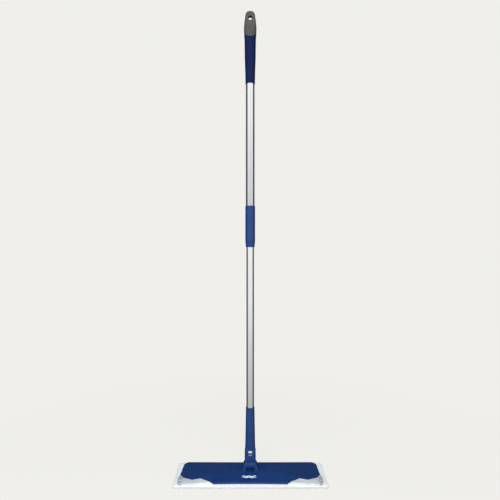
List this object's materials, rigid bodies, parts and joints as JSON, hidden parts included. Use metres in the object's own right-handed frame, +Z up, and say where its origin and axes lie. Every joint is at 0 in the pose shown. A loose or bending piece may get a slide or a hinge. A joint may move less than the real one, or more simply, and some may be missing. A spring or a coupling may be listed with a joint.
{
  "type": "flat mop",
  "caption": "Flat floor mop with a telescopic twist-lock handle, two-way swivel head, rubber corner bumpers and a hook-and-loop microfibre pad.",
  "frame": {"origin": "on the floor at the centre of the pad's underside, directly below the handle's axis", "axes": "+X to the mop's right, -Y towards the front edge with the corner bumpers, +Z up along the handle"},
  "size_m": [0.432, 0.137, 1.3495],
  "materials": {
    "microfibre": "matte",
    "foam": "matte",
    "loop_fleece": "matte",
    "binding_tape": "matte",
    "plate_plastic": "satin",
    "handle_plastic": "satin",
    "grip_plastic": "satin",
    "bumper_rubber": "matte",
    "cap_rubber": "matte",
    "hook_tape": "matte",
    "aluminium": "satin",
    "chrome": "polished",
    "steel": "satin",
    "nylon": "satin"
  },
  "bodies": {
    "pad": {"pad_pile": "microfibre", "pad_core": "foam", "pad_backing": "loop_fleece", "pad_binding": "binding_tape"},
    "head": {"head_shell": "plate_plastic", "hinge_bracket": "plate_plastic", "bracket_screws": "steel", "corner_bumper_left": "bumper_rubber", "corner_bumper_right": "bumper_rubber", "hook_strip_front": "hook_tape", "hook_strip_rear": "hook_tape", "tilt_pin": "steel"},
    "yoke": {"yoke": "handle_plastic"},
    "lower_handle": {"swing_pin": "chrome", "swing_nut": "chrome", "swing_washers": "nylon", "handle_socket": "handle_plastic", "lower_tube": "aluminium", "tube_plug": "nylon", "socket_screw": "steel", "lock_core": "nylon"},
    "lock_ring": {"lock_ring": "nylon"},
    "upper_handle": {"upper_tube": "aluminium", "collar": "handle_plastic", "collar_bush": "nylon", "tube_end_plug": "nylon", "grip": "grip_plastic", "grip_cap": "cap_rubber"}
  },
  "joints": [
    {"name": "pad_release", "type": "slide", "parent": "pad", "child": "head", "axis": [0, 0, 1], "range_m": [0, 0.08]},
    {"name": "handle_tilt", "type": "hinge", "parent": "head", "child": "yoke", "pos_m": [0, 0, 0.0365], "axis": [1, 0, 0], "range_deg": [-85, 85]},
    {"name": "handle_swing", "type": "hinge", "parent": "yoke", "child": "lower_handle", "pos_m": [0, 0, 0.0735], "axis": [0, 1, 0], "range_deg": [-80, 80]},
    {"name": "lock_twist", "type": "hinge", "parent": "lower_handle", "child": "lock_ring", "pos_m": [0, 0, 0.8], "axis": [0, 0, 1], "range_deg": [0, 90]},
    {"name": "telescope", "type": "slide", "parent": "lock_ring", "child": "upper_handle", "axis": [0, 0, 1], "range_m": [-0.4, 0.05], "stiffness_N_per_m": 6.39, "springref_m": 0.4}
  ]
}
